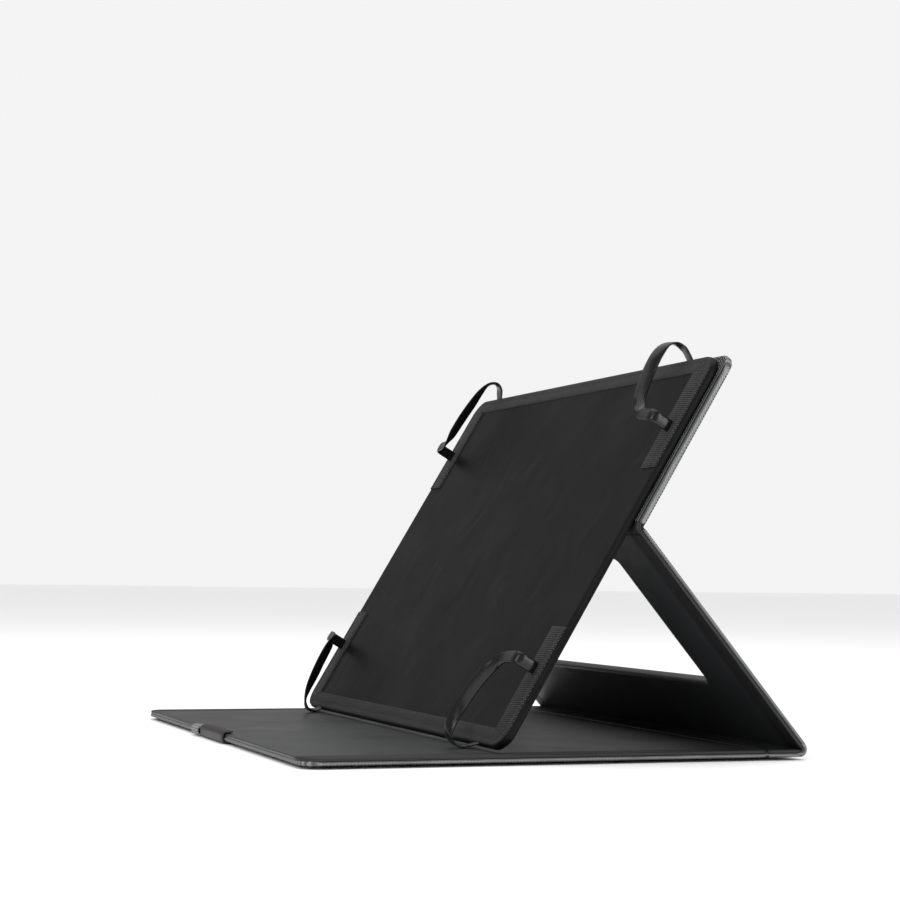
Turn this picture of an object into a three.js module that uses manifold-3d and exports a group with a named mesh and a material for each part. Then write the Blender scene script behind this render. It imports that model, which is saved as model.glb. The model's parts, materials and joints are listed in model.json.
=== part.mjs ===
// Folio case for a tablet, standing as an easel. Millimetres, +Z up, +X along the spine.
// The front cover lies on its outside with the lining up. Behind it come the spine strip,
// the strut, which leans forward, and the panel that carries the tablet by four corner elastics.
import * as THREE from "three";
import { mergeVertices } from "three/addons/utils/BufferGeometryUtils.js";
import Module from "manifold-3d";

const wasm = await Module();
wasm.setup();

// ---- Driving dimensions ----
const CASE_LENGTH = 262; // along the spine
const COVER_WIDTH = 185; // front cover, opening edge to the spine crease
const SPINE_WIDTH = 15;
const STRUT_LENGTH = 108; // spine crease to easel crease
const UPPER_BACK_LENGTH = 77; // easel crease to the opening edge of the back cover
const PANEL_BELOW = 99.5; // panel, easel crease to its lower edge
const PANEL_INSET = 3.4; // panel's ends inside the back cover's ends
const PANEL_MARGIN = 2.3; // panel's long edges beyond the tablet's
const PANEL_TILT = 59.4; // panel from the horizontal, in degrees
const OPENING_RADIUS = 8; // corners at the opening edges
const PANEL_RADIUS = 9;
const CREASE_RADIUS = 1.5; // corners beside a crease

// Sheet thicknesses
const SHELL = 0.7; // woven outer fabric
const BOARD = 1.6; // stiffener in the covers
const LINING = 0.4;
const PANEL_BACKING = 0.5;
const PANEL_BOARD = 1.9;
const PANEL_FACE = 0.6;
const TRIM = 0.5;
const STRAP_THICKNESS = 1.1; // leather hand strap
const RIBBON = 0.5;

// Clearances
const GLUE = 0.1; // between bonded layers
const TURNED_GAP = 0.3; // between pieces of different turned groups
const CREASE_GAP = 0.5; // each board's end to the crease line
const FLAP_GAP = 1.0; // flap edge to window edge

// Strut window
const WINDOW_SIDE_BORDER = 39;
const WINDOW_LOWER_BORDER = 31.5;
const WINDOW_UPPER_BORDER = 13;
const WINDOW_RADIUS = 3;

// Hand strap on the outside of the front cover
const STRAP_WIDTH = 38;
const STRAP_END_MARGIN = 8.4; // strap end to the spine crease
const STRAP_TURN_IN = 3.5; // length turned over the opening edge onto the lining
const STRAP_LAP = 10; // ribbon sewn under the strap end
const TACK_WIDTH = 2.2;
const TACK_DEPTH = 0.35; // seat sunk in the strap's outside
const TACK_RECESS = 0.035; // tack inside the strap's face
const TACK_INSET = 3; // bar tack to the strap end
const RIBBON_WIDTH = 31;
const TAB_WIDTH = 12; // small ribbon tab beside the strap at the opening edge
const TAB_TURN_IN = 3;
const TAB_SPACE = 1; // tab to the strap

// Tablet bay and corner elastics
const TABLET_LENGTH = 240;
const TABLET_WIDTH = 169.5;
const TABLET_DEPTH = 7.5;
const ELASTIC_WIDTH = 5;
const ELASTIC_THICKNESS = 1.2;
const ELASTIC_CLEARANCE = 0.2; // elastic to the tablet's face and sides
const ELASTIC_REACH = 31; // slot to the tablet's corner
const ELASTIC_RUN_IN = 13; // over the tablet's face before the diagonal
const SLOT_CLEARANCE = 0.3;
const LEG_INSET = 0.1; // leg sides inside the flat run's edges

// Trim strips along the panel's border
const TRIM_SIDE_WIDTH = 13; // along the panel's ends
const TRIM_EDGE_WIDTH = 7; // along its long edges
const TRIM_LEG = 51;
const TRIM_INSET = 0.6; // trim inside the panel's long edges
const TRIM_END_REACH = 7; // trim's ends beyond the tablet's, so the elastics' slots stay in it

// ---- Derived levels and angles ----
const stack = SHELL + GLUE + BOARD + GLUE + LINING;
const underside = STRAP_THICKNESS + GLUE; // outside face of the front cover
const inside = underside + stack; // lining face
const backingLevel = stack + TURNED_GAP;
const boardLevel = backingLevel + PANEL_BACKING + GLUE;
const faceLevel = boardLevel + PANEL_BOARD + GLUE;
const trimLevel = faceLevel + PANEL_FACE + GLUE;
const bayFloor = trimLevel + TRIM + TURNED_GAP;
const panelTop = TABLET_WIDTH + 2 * PANEL_MARGIN - PANEL_BELOW;
const panelHalf = CASE_LENGTH / 2 - PANEL_INSET;
const bayMiddle = (panelTop - PANEL_BELOW) / 2;

const tilt = THREE.MathUtils.degToRad(PANEL_TILT);
// Height of the easel crease when the panel's lower edge rests on the lining.
const creaseHeight = PANEL_BELOW * Math.sin(tilt) - backingLevel * Math.cos(tilt) + TURNED_GAP;
// The strut's angle from the base, from the same height.
const strutAngle =
  Math.asin(creaseHeight / Math.hypot(STRUT_LENGTH, stack)) - Math.atan(stack / STRUT_LENGTH);

// The whole case is centred over the origin, from the hand strap's fold to the strut's heel.
const frontExtra = GLUE + STRAP_THICKNESS;
const heelExtra = stack * Math.sin(strutAngle) - CREASE_GAP * Math.cos(strutAngle);
const openingEdge = (frontExtra - heelExtra - COVER_WIDTH - SPINE_WIDTH) / 2;
const coverCrease = openingEdge + COVER_WIDTH;
const backCrease = coverCrease + SPINE_WIDTH;

// ---- Finishes ----
const finish = (color, roughness) => new THREE.MeshStandardMaterial({ color, roughness, metalness: 0 });
const weave = () => finish(0x2d2e30, 0.85);
const stiffener = () => finish(0x6a6a66, 0.9);
const lining = () => finish(0x26282a, 0.55);
const leather = () => finish(0x342f30, 0.5);
const webbing = () => finish(0x828282, 0.9);
const thread = () => finish(0xc8cd78, 0.7);
const elastic = () => finish(0x121213, 0.35);

// ---- Shape helpers ----
// Outline from x -half to half and y0 to y1, with one radius for the y0 corners and one for y1.
function outline(half, y0, y1, r0, r1, PathClass = THREE.Shape) {
  const p = new PathClass();
  p.moveTo(-half + r0, y0);
  p.lineTo(half - r0, y0);
  p.absarc(half - r0, y0 + r0, r0, -Math.PI / 2, 0);
  p.lineTo(half, y1 - r1);
  p.absarc(half - r1, y1 - r1, r1, 0, Math.PI / 2);
  p.lineTo(-half + r1, y1);
  p.absarc(-half + r1, y1 - r1, r1, Math.PI / 2, Math.PI);
  p.lineTo(-half, y0 + r0);
  p.absarc(-half + r0, y0 + r0, r0, Math.PI, Math.PI * 1.5);
  return p;
}

// A flat sheet of the outline, with its underside at the given level.
function sheet(shape, level, thickness) {
  const g = new THREE.ExtrudeGeometry(shape, { depth: thickness, bevelEnabled: false, curveSegments: 6 });
  return g.translate(0, 0, level);
}

// A strip of constant profile in the YZ plane, centred at x and running along X.
function strip(profile, x, width) {
  const shape = new THREE.Shape(profile.map(([y, z]) => new THREE.Vector2(y, z)));
  const g = new THREE.ExtrudeGeometry(shape, { depth: width, bevelEnabled: false });
  // The profile's axes become Y and Z, and the depth becomes X.
  const basis = new THREE.Matrix4().makeBasis(
    new THREE.Vector3(0, 1, 0),
    new THREE.Vector3(0, 0, 1),
    new THREE.Vector3(1, 0, 0),
  );
  return g.applyMatrix4(basis).translate(x - width / 2, 0, 0);
}

function toSolid(geometry) {
  const bare = geometry.index ? geometry.toNonIndexed() : geometry.clone();
  bare.deleteAttribute("normal");
  bare.deleteAttribute("uv");
  const merged = mergeVertices(bare, 1e-4);
  return new wasm.Manifold(
    new wasm.Mesh({
      numProp: 3,
      vertProperties: merged.attributes.position.array,
      triVerts: new Uint32Array(merged.index.array),
    }),
  );
}

function toGeometry(solid) {
  const m = solid.getMesh();
  const g = new THREE.BufferGeometry();
  g.setAttribute("position", new THREE.BufferAttribute(new Float32Array(m.vertProperties), 3));
  g.setIndex(new THREE.BufferAttribute(new Uint32Array(m.triVerts), 1));
  const flat = g.toNonIndexed();
  flat.computeVertexNormals();
  return flat;
}

function add(group, name, geometry, material) {
  const mesh = new THREE.Mesh(geometry, material);
  mesh.name = name;
  group.add(mesh);
}

// ---- Front cover, flat on the ground with its lining up ----
const folio = new THREE.Group();
const coverOutline = outline(
  CASE_LENGTH / 2, openingEdge, coverCrease - CREASE_GAP, OPENING_RADIUS, CREASE_RADIUS,
);
add(folio, "front_cover_shell", sheet(coverOutline, underside, SHELL), weave());
add(folio, "front_cover_board", sheet(coverOutline, underside + SHELL + GLUE, BOARD), stiffener());
add(folio, "front_cover_lining", sheet(coverOutline, inside - LINING, LINING), lining());

// ---- Hand strap: along the cover's width, turned over the opening edge ----
const strapEnd = coverCrease - STRAP_END_MARGIN;
const strapOuter = openingEdge - GLUE - STRAP_THICKNESS;
const turnTop = inside + GLUE + STRAP_THICKNESS;
const seatFar = strapEnd - TACK_INSET;
const seatNear = seatFar - TACK_WIDTH;
const lapStart = strapEnd - STRAP_LAP;
const lapRoof = STRAP_THICKNESS - RIBBON - GLUE;
const strapProfile = [
  [strapOuter, 0],
  [seatNear, 0],
  [seatNear, TACK_DEPTH],
  [seatFar, TACK_DEPTH],
  [seatFar, 0],
  [strapEnd, 0],
  [strapEnd, lapRoof],
  [lapStart, lapRoof],
  [lapStart, STRAP_THICKNESS],
  [openingEdge - GLUE, STRAP_THICKNESS],
  [openingEdge - GLUE, inside + GLUE],
  [openingEdge + STRAP_TURN_IN, inside + GLUE],
  [openingEdge + STRAP_TURN_IN, turnTop],
  [strapOuter, turnTop],
];
add(folio, "hand_strap", strip(strapProfile, 0, STRAP_WIDTH), leather());
const tackProfile = [
  [seatNear + GLUE, TACK_RECESS],
  [seatFar - GLUE, TACK_RECESS],
  [seatFar - GLUE, TACK_DEPTH - GLUE],
  [seatNear + GLUE, TACK_DEPTH - GLUE],
];
add(folio, "strap_bar_tack", strip(tackProfile, 0, STRAP_WIDTH - 2), thread());

// ---- Ribbon from under the strap end, over the crease and across the spine ----
const ribbonBase = lapRoof + GLUE;
const ribbonRun = (y0, y1) => [
  [y0, ribbonBase],
  [y1, ribbonBase],
  [y1, ribbonBase + RIBBON - GLUE],
  [y0, ribbonBase + RIBBON - GLUE],
];
add(
  folio, "ribbon_on_cover",
  strip(ribbonRun(lapStart + GLUE, coverCrease - CREASE_GAP), 0, RIBBON_WIDTH), webbing(),
);
add(
  folio, "ribbon_on_spine",
  strip(ribbonRun(coverCrease + CREASE_GAP, backCrease - 2 * CREASE_GAP), 0, RIBBON_WIDTH), webbing(),
);

// ---- Small ribbon tab beside the strap, folded round the opening edge ----
const tabOuter = openingEdge - GLUE - RIBBON;
const tabProfile = [
  [tabOuter, underside - GLUE - RIBBON],
  [openingEdge + TAB_TURN_IN, underside - GLUE - RIBBON],
  [openingEdge + TAB_TURN_IN, underside - GLUE],
  [openingEdge - GLUE, underside - GLUE],
  [openingEdge - GLUE, inside + GLUE],
  [openingEdge + TAB_TURN_IN, inside + GLUE],
  [openingEdge + TAB_TURN_IN, inside + GLUE + RIBBON],
  [tabOuter, inside + GLUE + RIBBON],
];
const tabX = -(STRAP_WIDTH / 2 + TAB_SPACE + TAB_WIDTH / 2);
add(folio, "ribbon_tab", strip(tabProfile, tabX, TAB_WIDTH), webbing());

// ---- Spine strip ----
const spineOutline = outline(
  CASE_LENGTH / 2, coverCrease + CREASE_GAP, backCrease - CREASE_GAP, CREASE_RADIUS, CREASE_RADIUS,
);
add(folio, "spine_shell", sheet(spineOutline, underside, SHELL), weave());
add(folio, "spine_board", sheet(spineOutline, underside + SHELL + GLUE, BOARD), stiffener());
add(folio, "spine_lining", sheet(spineOutline, inside - LINING, LINING), lining());

// ---- Strut: leans forward from the back crease. Its lining faces +Z of its own group ----
const strut = new THREE.Group();
strut.position.set(0, backCrease, inside);
strut.rotation.x = Math.PI - strutAngle;
folio.add(strut);
const windowHalf = CASE_LENGTH / 2 - WINDOW_SIDE_BORDER;
const windowTop = STRUT_LENGTH - WINDOW_UPPER_BORDER;
const strutOutline = outline(
  CASE_LENGTH / 2, CREASE_GAP, STRUT_LENGTH - CREASE_GAP, CREASE_RADIUS, CREASE_RADIUS,
);
strutOutline.holes.push(
  outline(windowHalf, WINDOW_LOWER_BORDER, windowTop, WINDOW_RADIUS, WINDOW_RADIUS, THREE.Path),
);
add(strut, "strut_shell", sheet(strutOutline, -stack, SHELL), weave());
add(strut, "strut_board", sheet(strutOutline, -stack + SHELL + GLUE, BOARD), stiffener());
add(strut, "strut_lining", sheet(strutOutline, -LINING, LINING), lining());

// ---- Panel: hinged on the strut's outside face at the easel crease ----
const panel = new THREE.Group();
panel.position.set(0, STRUT_LENGTH, -stack);
panel.rotation.x = tilt - (Math.PI - strutAngle);
strut.add(panel);

const upperOutline = outline(
  CASE_LENGTH / 2, CREASE_GAP, UPPER_BACK_LENGTH, CREASE_RADIUS, OPENING_RADIUS,
);
add(panel, "upper_back_shell", sheet(upperOutline, 0, SHELL), weave());
add(panel, "upper_back_board", sheet(upperOutline, SHELL + GLUE, stack - SHELL), stiffener());

// The piece cut out of the strut stays bonded to the panel, so the folded back is whole.
const flapOutline = outline(
  windowHalf - FLAP_GAP,
  WINDOW_LOWER_BORDER + FLAP_GAP - STRUT_LENGTH,
  windowTop - FLAP_GAP - STRUT_LENGTH,
  WINDOW_RADIUS,
  WINDOW_RADIUS,
);
add(panel, "flap_shell", sheet(flapOutline, 0, SHELL), weave());
add(panel, "flap_board", sheet(flapOutline, SHELL + GLUE, stack - SHELL), stiffener());

const panelOutline = outline(panelHalf, -PANEL_BELOW, panelTop, PANEL_RADIUS, PANEL_RADIUS);
add(panel, "panel_backing", sheet(panelOutline, backingLevel, PANEL_BACKING), lining());
add(panel, "panel_board", sheet(panelOutline, boardLevel, PANEL_BOARD), stiffener());

// ---- Slots for the corner elastics, through the face and the trim ----
const legOffset = ELASTIC_CLEARANCE + ELASTIC_THICKNESS / 2; // leg's middle outside the tablet
const legX = TABLET_LENGTH / 2 + legOffset;
const legY = TABLET_WIDTH / 2 + legOffset;
const slotX = TABLET_LENGTH / 2 - ELASTIC_REACH;
const slotY = TABLET_WIDTH / 2 - ELASTIC_REACH;
const slotLong = ELASTIC_WIDTH + 2 * SLOT_CLEARANCE;
const slotShort = ELASTIC_THICKNESS + 2 * SLOT_CLEARANCE;
const cornersOf = [
  ["top_right", 1, 1],
  ["top_left", -1, 1],
  ["bottom_left", -1, -1],
  ["bottom_right", 1, -1],
];
// Cuts the two slots of each listed corner through a sheet on the panel.
function withSlots(geometry, corners) {
  let solid = toSolid(geometry);
  const middle = faceLevel + PANEL_FACE;
  for (const [, sx, sy] of corners) {
    const along = new THREE.BoxGeometry(slotLong, slotShort, 4 * PANEL_FACE);
    along.translate(sx * slotX, bayMiddle + sy * legY, middle);
    const across = new THREE.BoxGeometry(slotShort, slotLong, 4 * PANEL_FACE);
    across.translate(sx * legX, bayMiddle + sy * slotY, middle);
    solid = solid.subtract(toSolid(along)).subtract(toSolid(across));
  }
  return toGeometry(solid);
}
const face = sheet(panelOutline, faceLevel, PANEL_FACE);
add(panel, "panel_face", withSlots(face, cornersOf), lining());

// ---- Woven trim round each end of the panel's border ----
// sy is 1 for the top strip and -1 for the bottom one.
function trimOutline(sy) {
  const inset = TRIM_INSET;
  const half = TABLET_LENGTH / 2 + TRIM_END_REACH;
  const r = PANEL_RADIUS - inset;
  const edge = panelTop - bayMiddle - inset; // from the bay's middle
  const legEnd = edge - TRIM_LEG;
  const p = new THREE.Shape();
  p.moveTo(half, legEnd);
  p.lineTo(half, edge - r);
  p.absarc(half - r, edge - r, r, 0, Math.PI / 2);
  p.lineTo(-half + r, edge);
  p.absarc(-half + r, edge - r, r, Math.PI / 2, Math.PI);
  p.lineTo(-half, legEnd);
  p.lineTo(-half + TRIM_SIDE_WIDTH, legEnd);
  p.lineTo(-half + TRIM_SIDE_WIDTH, edge - TRIM_EDGE_WIDTH);
  p.lineTo(half - TRIM_SIDE_WIDTH, edge - TRIM_EDGE_WIDTH);
  p.lineTo(half - TRIM_SIDE_WIDTH, legEnd);
  const turned = p.extractPoints(6).shape.map((v) => new THREE.Vector2(v.x * sy, v.y * sy + bayMiddle));
  return new THREE.Shape(turned);
}
for (const [name, sy] of [["top_trim", 1], ["bottom_trim", -1]]) {
  const ends = cornersOf.filter(([, , side]) => side === sy);
  add(panel, name, withSlots(sheet(trimOutline(sy), trimLevel, TRIM), ends), weave());
}

// ---- Corner elastics: out of one slot, over the tablet's corner and into the other ----
// The outline of a flat band of the elastic's width along a line of points.
function bandOutline(line) {
  const points = line.map(([x, y]) => new THREE.Vector2(x, y));
  const left = (a, b) => b.clone().sub(a).normalize().rotateAround(new THREE.Vector2(), Math.PI / 2);
  const sides = points.map((p, i) => {
    const before = left(points[Math.max(i - 1, 0)], points[Math.max(i, 1)]);
    const last = points.length - 1;
    const after = left(points[Math.min(i, last - 1)], points[Math.min(i + 1, last)]);
    const across = before.clone().add(after).normalize();
    return across.multiplyScalar(ELASTIC_WIDTH / 2 / across.dot(after));
  });
  const near = points.map((p, i) => p.clone().sub(sides[i]));
  const far = points.map((p, i) => p.clone().add(sides[i]));
  return new THREE.Shape([...near, ...far.reverse()]);
}

function cornerElastic(sx, sy) {
  const over = bayFloor + TABLET_DEPTH + ELASTIC_CLEARANCE;
  const foot = faceLevel + GLUE; // the ends are bonded down behind the face
  const top = over + ELASTIC_THICKNESS / 2;
  const along = [sx * slotX, bayMiddle + sy * legY];
  const across = [sx * legX, bayMiddle + sy * slotY];
  const reach = ELASTIC_THICKNESS / 2 + LEG_INSET; // the flat run ends just past the leg
  const flat = sheet(
    bandOutline([
      [along[0], along[1] + sy * reach],
      [along[0], along[1] - sy * ELASTIC_RUN_IN],
      [across[0] - sx * ELASTIC_RUN_IN, across[1]],
      [across[0] + sx * reach, across[1]],
    ]),
    over,
    ELASTIC_THICKNESS,
  );
  let solid = toSolid(flat);
  const legWidth = ELASTIC_WIDTH - 2 * LEG_INSET;
  const alongLeg = new THREE.BoxGeometry(legWidth, ELASTIC_THICKNESS, top - foot);
  const acrossLeg = new THREE.BoxGeometry(ELASTIC_THICKNESS, legWidth, top - foot);
  alongLeg.translate(along[0], along[1], (top + foot) / 2);
  acrossLeg.translate(across[0], across[1], (top + foot) / 2);
  solid = solid.add(toSolid(alongLeg)).add(toSolid(acrossLeg));
  return toGeometry(solid);
}
for (const [corner, sx, sy] of cornersOf) {
  add(panel, "corner_elastic_" + corner, cornerElastic(sx, sy), elastic());
}

export default folio;
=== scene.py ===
import json
import math

import bmesh
import bpy
from mathutils import Matrix, Vector


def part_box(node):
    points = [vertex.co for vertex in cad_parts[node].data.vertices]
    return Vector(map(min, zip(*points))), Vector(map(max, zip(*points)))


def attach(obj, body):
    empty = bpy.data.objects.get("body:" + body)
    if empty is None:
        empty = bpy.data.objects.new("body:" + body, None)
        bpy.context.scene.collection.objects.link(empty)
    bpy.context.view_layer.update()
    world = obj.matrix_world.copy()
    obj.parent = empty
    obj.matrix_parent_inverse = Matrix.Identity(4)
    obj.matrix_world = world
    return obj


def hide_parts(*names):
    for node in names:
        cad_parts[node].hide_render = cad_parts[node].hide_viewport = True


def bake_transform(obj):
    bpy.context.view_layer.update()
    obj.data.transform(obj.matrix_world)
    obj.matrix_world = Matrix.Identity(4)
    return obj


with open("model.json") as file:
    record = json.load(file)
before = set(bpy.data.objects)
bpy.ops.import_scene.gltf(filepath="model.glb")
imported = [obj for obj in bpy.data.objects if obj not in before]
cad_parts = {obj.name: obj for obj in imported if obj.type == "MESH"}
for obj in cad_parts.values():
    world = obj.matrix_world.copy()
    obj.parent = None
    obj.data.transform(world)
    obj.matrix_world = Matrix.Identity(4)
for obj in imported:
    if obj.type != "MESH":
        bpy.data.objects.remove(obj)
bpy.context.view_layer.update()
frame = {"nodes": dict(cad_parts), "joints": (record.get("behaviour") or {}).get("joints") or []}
mm = 0.001

# Camera and studio: the case stands on a pale table, seen from low beside its open end,
# with a broad soft light overhead, a window-like light from the front and a rim light behind.
camera_at = Vector((0.8347, -0.3042, 0.0697))
camera_right = Vector((0.34467, 0.93862, 0.01401))
camera_up = Vector((0.05155, -0.03383, 0.9981))
camera_back = camera_right.cross(camera_up)
camera_data = bpy.data.cameras.new("camera")
camera_data.lens = 82.5
camera_data.sensor_width = 36
camera_data.clip_start = 0.01
camera = bpy.data.objects.new("camera", camera_data)
bpy.context.collection.objects.link(camera)
camera.matrix_world = Matrix.Translation(camera_at) @ Matrix(
    (camera_right, camera_up, camera_back)
).transposed().to_4x4()
bpy.context.scene.camera = camera
bpy.context.scene.view_settings.view_transform = "Standard"


def node_link(tree, source, target):
    tree.links.new(source, target)


def new_material(name, roughness, color, specular=0.5):
    material = bpy.data.materials.new(name)
    material.use_nodes = True
    shader = material.node_tree.nodes["Principled BSDF"]
    shader.inputs["Specular IOR Level"].default_value = specular
    shader.inputs["Base Color"].default_value = (*color, 1)
    shader.inputs["Roughness"].default_value = roughness
    return material, material.node_tree, shader


def soft_light(name, at, toward, width, height, watts):
    data = bpy.data.lights.new(name, "AREA")
    data.shape = "RECTANGLE"
    data.size = width
    data.size_y = height
    data.energy = watts
    light = bpy.data.objects.new(name, data)
    light.matrix_world = Matrix.Translation(at) @ (Vector(toward) - Vector(at)).to_track_quat(
        "-Z", "Y"
    ).to_matrix().to_4x4()
    bpy.context.collection.objects.link(light)


soft_light("overhead_light", (-0.1, 0.1, 1.3), (0, 0, 0.05), 1.5, 1.5, 9)
soft_light("front_light", (0.9, -1.1, 0.8), (0, 0, 0.08), 0.9, 0.7, 6)
soft_light("side_light", (1.3, 0.7, 0.5), (0, 0.05, 0.06), 0.5, 0.8, 5)
world = bpy.data.worlds.new("studio")
bpy.context.scene.world = world
world.use_nodes = True
room = world.node_tree.nodes["Background"]
room.inputs["Color"].default_value = (1, 1, 1, 1)
room.inputs["Strength"].default_value = 0.92
seen = world.node_tree.nodes.new("ShaderNodeLightPath")
mixed = room
for ray, strength in (("Is Glossy Ray", 0.35), ("Is Camera Ray", 0.9)):
    backdrop = world.node_tree.nodes.new("ShaderNodeBackground")
    backdrop.inputs["Color"].default_value = (1, 1, 1, 1)
    backdrop.inputs["Strength"].default_value = strength
    either = world.node_tree.nodes.new("ShaderNodeMixShader")
    node_link(world.node_tree, seen.outputs[ray], either.inputs[0])
    node_link(world.node_tree, mixed.outputs[0], either.inputs[1])
    node_link(world.node_tree, backdrop.outputs[0], either.inputs[2])
    mixed = either
node_link(world.node_tree, mixed.outputs[0], world.node_tree.nodes["World Output"].inputs[0])

floor_size = 8.0
floor_mesh = bpy.data.meshes.new("floor")
corners = [(i * floor_size, j * floor_size, 0) for i, j in ((-1, -1), (1, -1), (1, 1), (-1, 1))]
floor_mesh.from_pydata(corners, [], [(0, 1, 2, 3)])
floor = bpy.data.objects.new("floor", floor_mesh)
bpy.context.collection.objects.link(floor)
floor_mesh.materials.append(new_material("pale_table", 0.8, (0.92, 0.92, 0.92), 0.1)[0])

# Front cover: a stiff board wrapped in ribbed woven fabric, its edges turned and pressed.
# The ribs of the weave run across the cover, from the opening edge to the spine.
RIB_PITCH = 1.9 * mm
RIB_DEPTH = 0.16 * mm
RIB_STEPS = 4
FLECK_PITCH = 1.3 * mm
EDGE_ROUND = 1.1 * mm
EDGE_STEPS = 5
LINING_THICK = 1.25 * mm


def add_group_socket(group, name, kind, output=False, default=None):
    socket = group.interface.new_socket(
        name=name, in_out="OUTPUT" if output else "INPUT", socket_type=kind
    )
    if default is not None:
        socket.default_value = default
    return socket


def math_node(tree, operation, a, b=None, c=None):
    node = tree.nodes.new("ShaderNodeMath")
    node.operation = operation
    for i, value in enumerate((a, b, c)):
        if value is None:
            continue
        if hasattr(value, "links"):
            tree.links.new(value, node.inputs[i])
        else:
            node.inputs[i].default_value = value
    return node.outputs[0]


def make_rib_weave_group():
    """Ribs along the second texture direction, flecked where the lighter yarn comes up."""
    group = bpy.data.node_groups.new("rib_weave", "ShaderNodeTree")
    add_group_socket(group, "Place", "NodeSocketVector")
    add_group_socket(group, "Rib Pitch", "NodeSocketFloat", default=RIB_PITCH)
    add_group_socket(group, "Fleck Pitch", "NodeSocketFloat", default=FLECK_PITCH)
    for name in ("Rib", "Fleck", "Height"):
        add_group_socket(group, name, "NodeSocketFloat", output=True)
    into = group.nodes.new("NodeGroupInput")
    out = group.nodes.new("NodeGroupOutput")
    split = group.nodes.new("ShaderNodeSeparateXYZ")
    node_link(group, into.outputs["Place"], split.inputs[0])
    across = math_node(group, "DIVIDE", split.outputs["X"], into.outputs["Rib Pitch"])
    along = math_node(group, "DIVIDE", split.outputs["Y"], into.outputs["Fleck Pitch"])
    turn = math_node(group, "MULTIPLY", across, 2 * math.pi)
    rib = math_node(group, "MULTIPLY_ADD", math_node(group, "COSINE", turn), 0.5, 0.5)
    row = math_node(group, "ROUND", across)
    stagger = math_node(group, "MULTIPLY", row, 0.5)
    wander = group.nodes.new("ShaderNodeTexNoise")
    wander.inputs["Scale"].default_value = 600
    wander.inputs["Detail"].default_value = 2
    node_link(group, into.outputs["Place"], wander.inputs["Vector"])
    drift = math_node(group, "MULTIPLY", wander.outputs["Fac"], 0.35)
    phase = math_node(group, "ADD", math_node(group, "ADD", along, stagger), drift)
    beat = math_node(group, "COSINE", math_node(group, "MULTIPLY", phase, 2 * math.pi))
    beat = math_node(group, "MULTIPLY_ADD", beat, 0.5, 0.5)
    crest = math_node(group, "POWER", rib, 2.0)
    patch = group.nodes.new("ShaderNodeTexNoise")
    patch.inputs["Scale"].default_value = 90
    node_link(group, into.outputs["Place"], patch.inputs["Vector"])
    strength = math_node(group, "MULTIPLY", math_node(group, "POWER", beat, 3.0), crest)
    strength = math_node(group, "MULTIPLY", strength, math_node(group, "MULTIPLY", patch.outputs["Fac"], 1.6))
    height = math_node(group, "MULTIPLY_ADD", beat, 0.35, rib)
    node_link(group, rib, out.inputs["Rib"])
    node_link(group, strength, out.inputs["Fleck"])
    node_link(group, height, out.inputs["Height"])
    return group


rib_weave = make_rib_weave_group()


def place_node(tree):
    """The piece's own texture place, laid out in metres over its surface."""
    node = tree.nodes.new("ShaderNodeUVMap")
    node.uv_map = "place"
    return node.outputs[0]


def mix_colors(tree, factor, a, b):
    node = tree.nodes.new("ShaderNodeMix")
    node.data_type = "RGBA"
    for socket, value in ((node.inputs["Factor"], factor), (node.inputs["A"], a), (node.inputs["B"], b)):
        if hasattr(value, "links"):
            tree.links.new(value, socket)
        elif isinstance(value, tuple):
            socket.default_value = (*value, 1)
        else:
            socket.default_value = value
    # A colour mix node has one result socket per data type; the colour one is the third.
    return node.outputs["Result"] if node.outputs["Result"].type == "RGBA" else node.outputs[2]


def bump_node(tree, height, distance, strength=1.0, normal=None):
    node = tree.nodes.new("ShaderNodeBump")
    node.inputs["Distance"].default_value = distance
    node.inputs["Strength"].default_value = strength
    tree.links.new(height, node.inputs["Height"])
    if normal is not None:
        tree.links.new(normal, node.inputs["Normal"])
    return node.outputs[0]


def make_woven_material(name, groove, crest, fleck, pitch=RIB_PITCH, roughness=0.72):
    material, tree, shader = new_material(name, roughness, crest, 0.2)
    weave = tree.nodes.new("ShaderNodeGroup")
    weave.node_tree = rib_weave
    weave.inputs["Rib Pitch"].default_value = pitch
    node_link(tree, place_node(tree), weave.inputs["Place"])
    color = mix_colors(tree, weave.outputs["Rib"], groove, crest)
    color = mix_colors(tree, weave.outputs["Fleck"], color, fleck)
    node_link(tree, color, shader.inputs["Base Color"])
    rough = math_node(tree, "MULTIPLY_ADD", weave.outputs["Rib"], -0.18, roughness + 0.1)
    node_link(tree, rough, shader.inputs["Roughness"])
    node_link(tree, bump_node(tree, weave.outputs["Height"], 0.12 * mm), shader.inputs["Normal"])
    shader.inputs["Sheen Weight"].default_value = 0.04
    shader.inputs["Sheen Roughness"].default_value = 0.5
    return material


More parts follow.
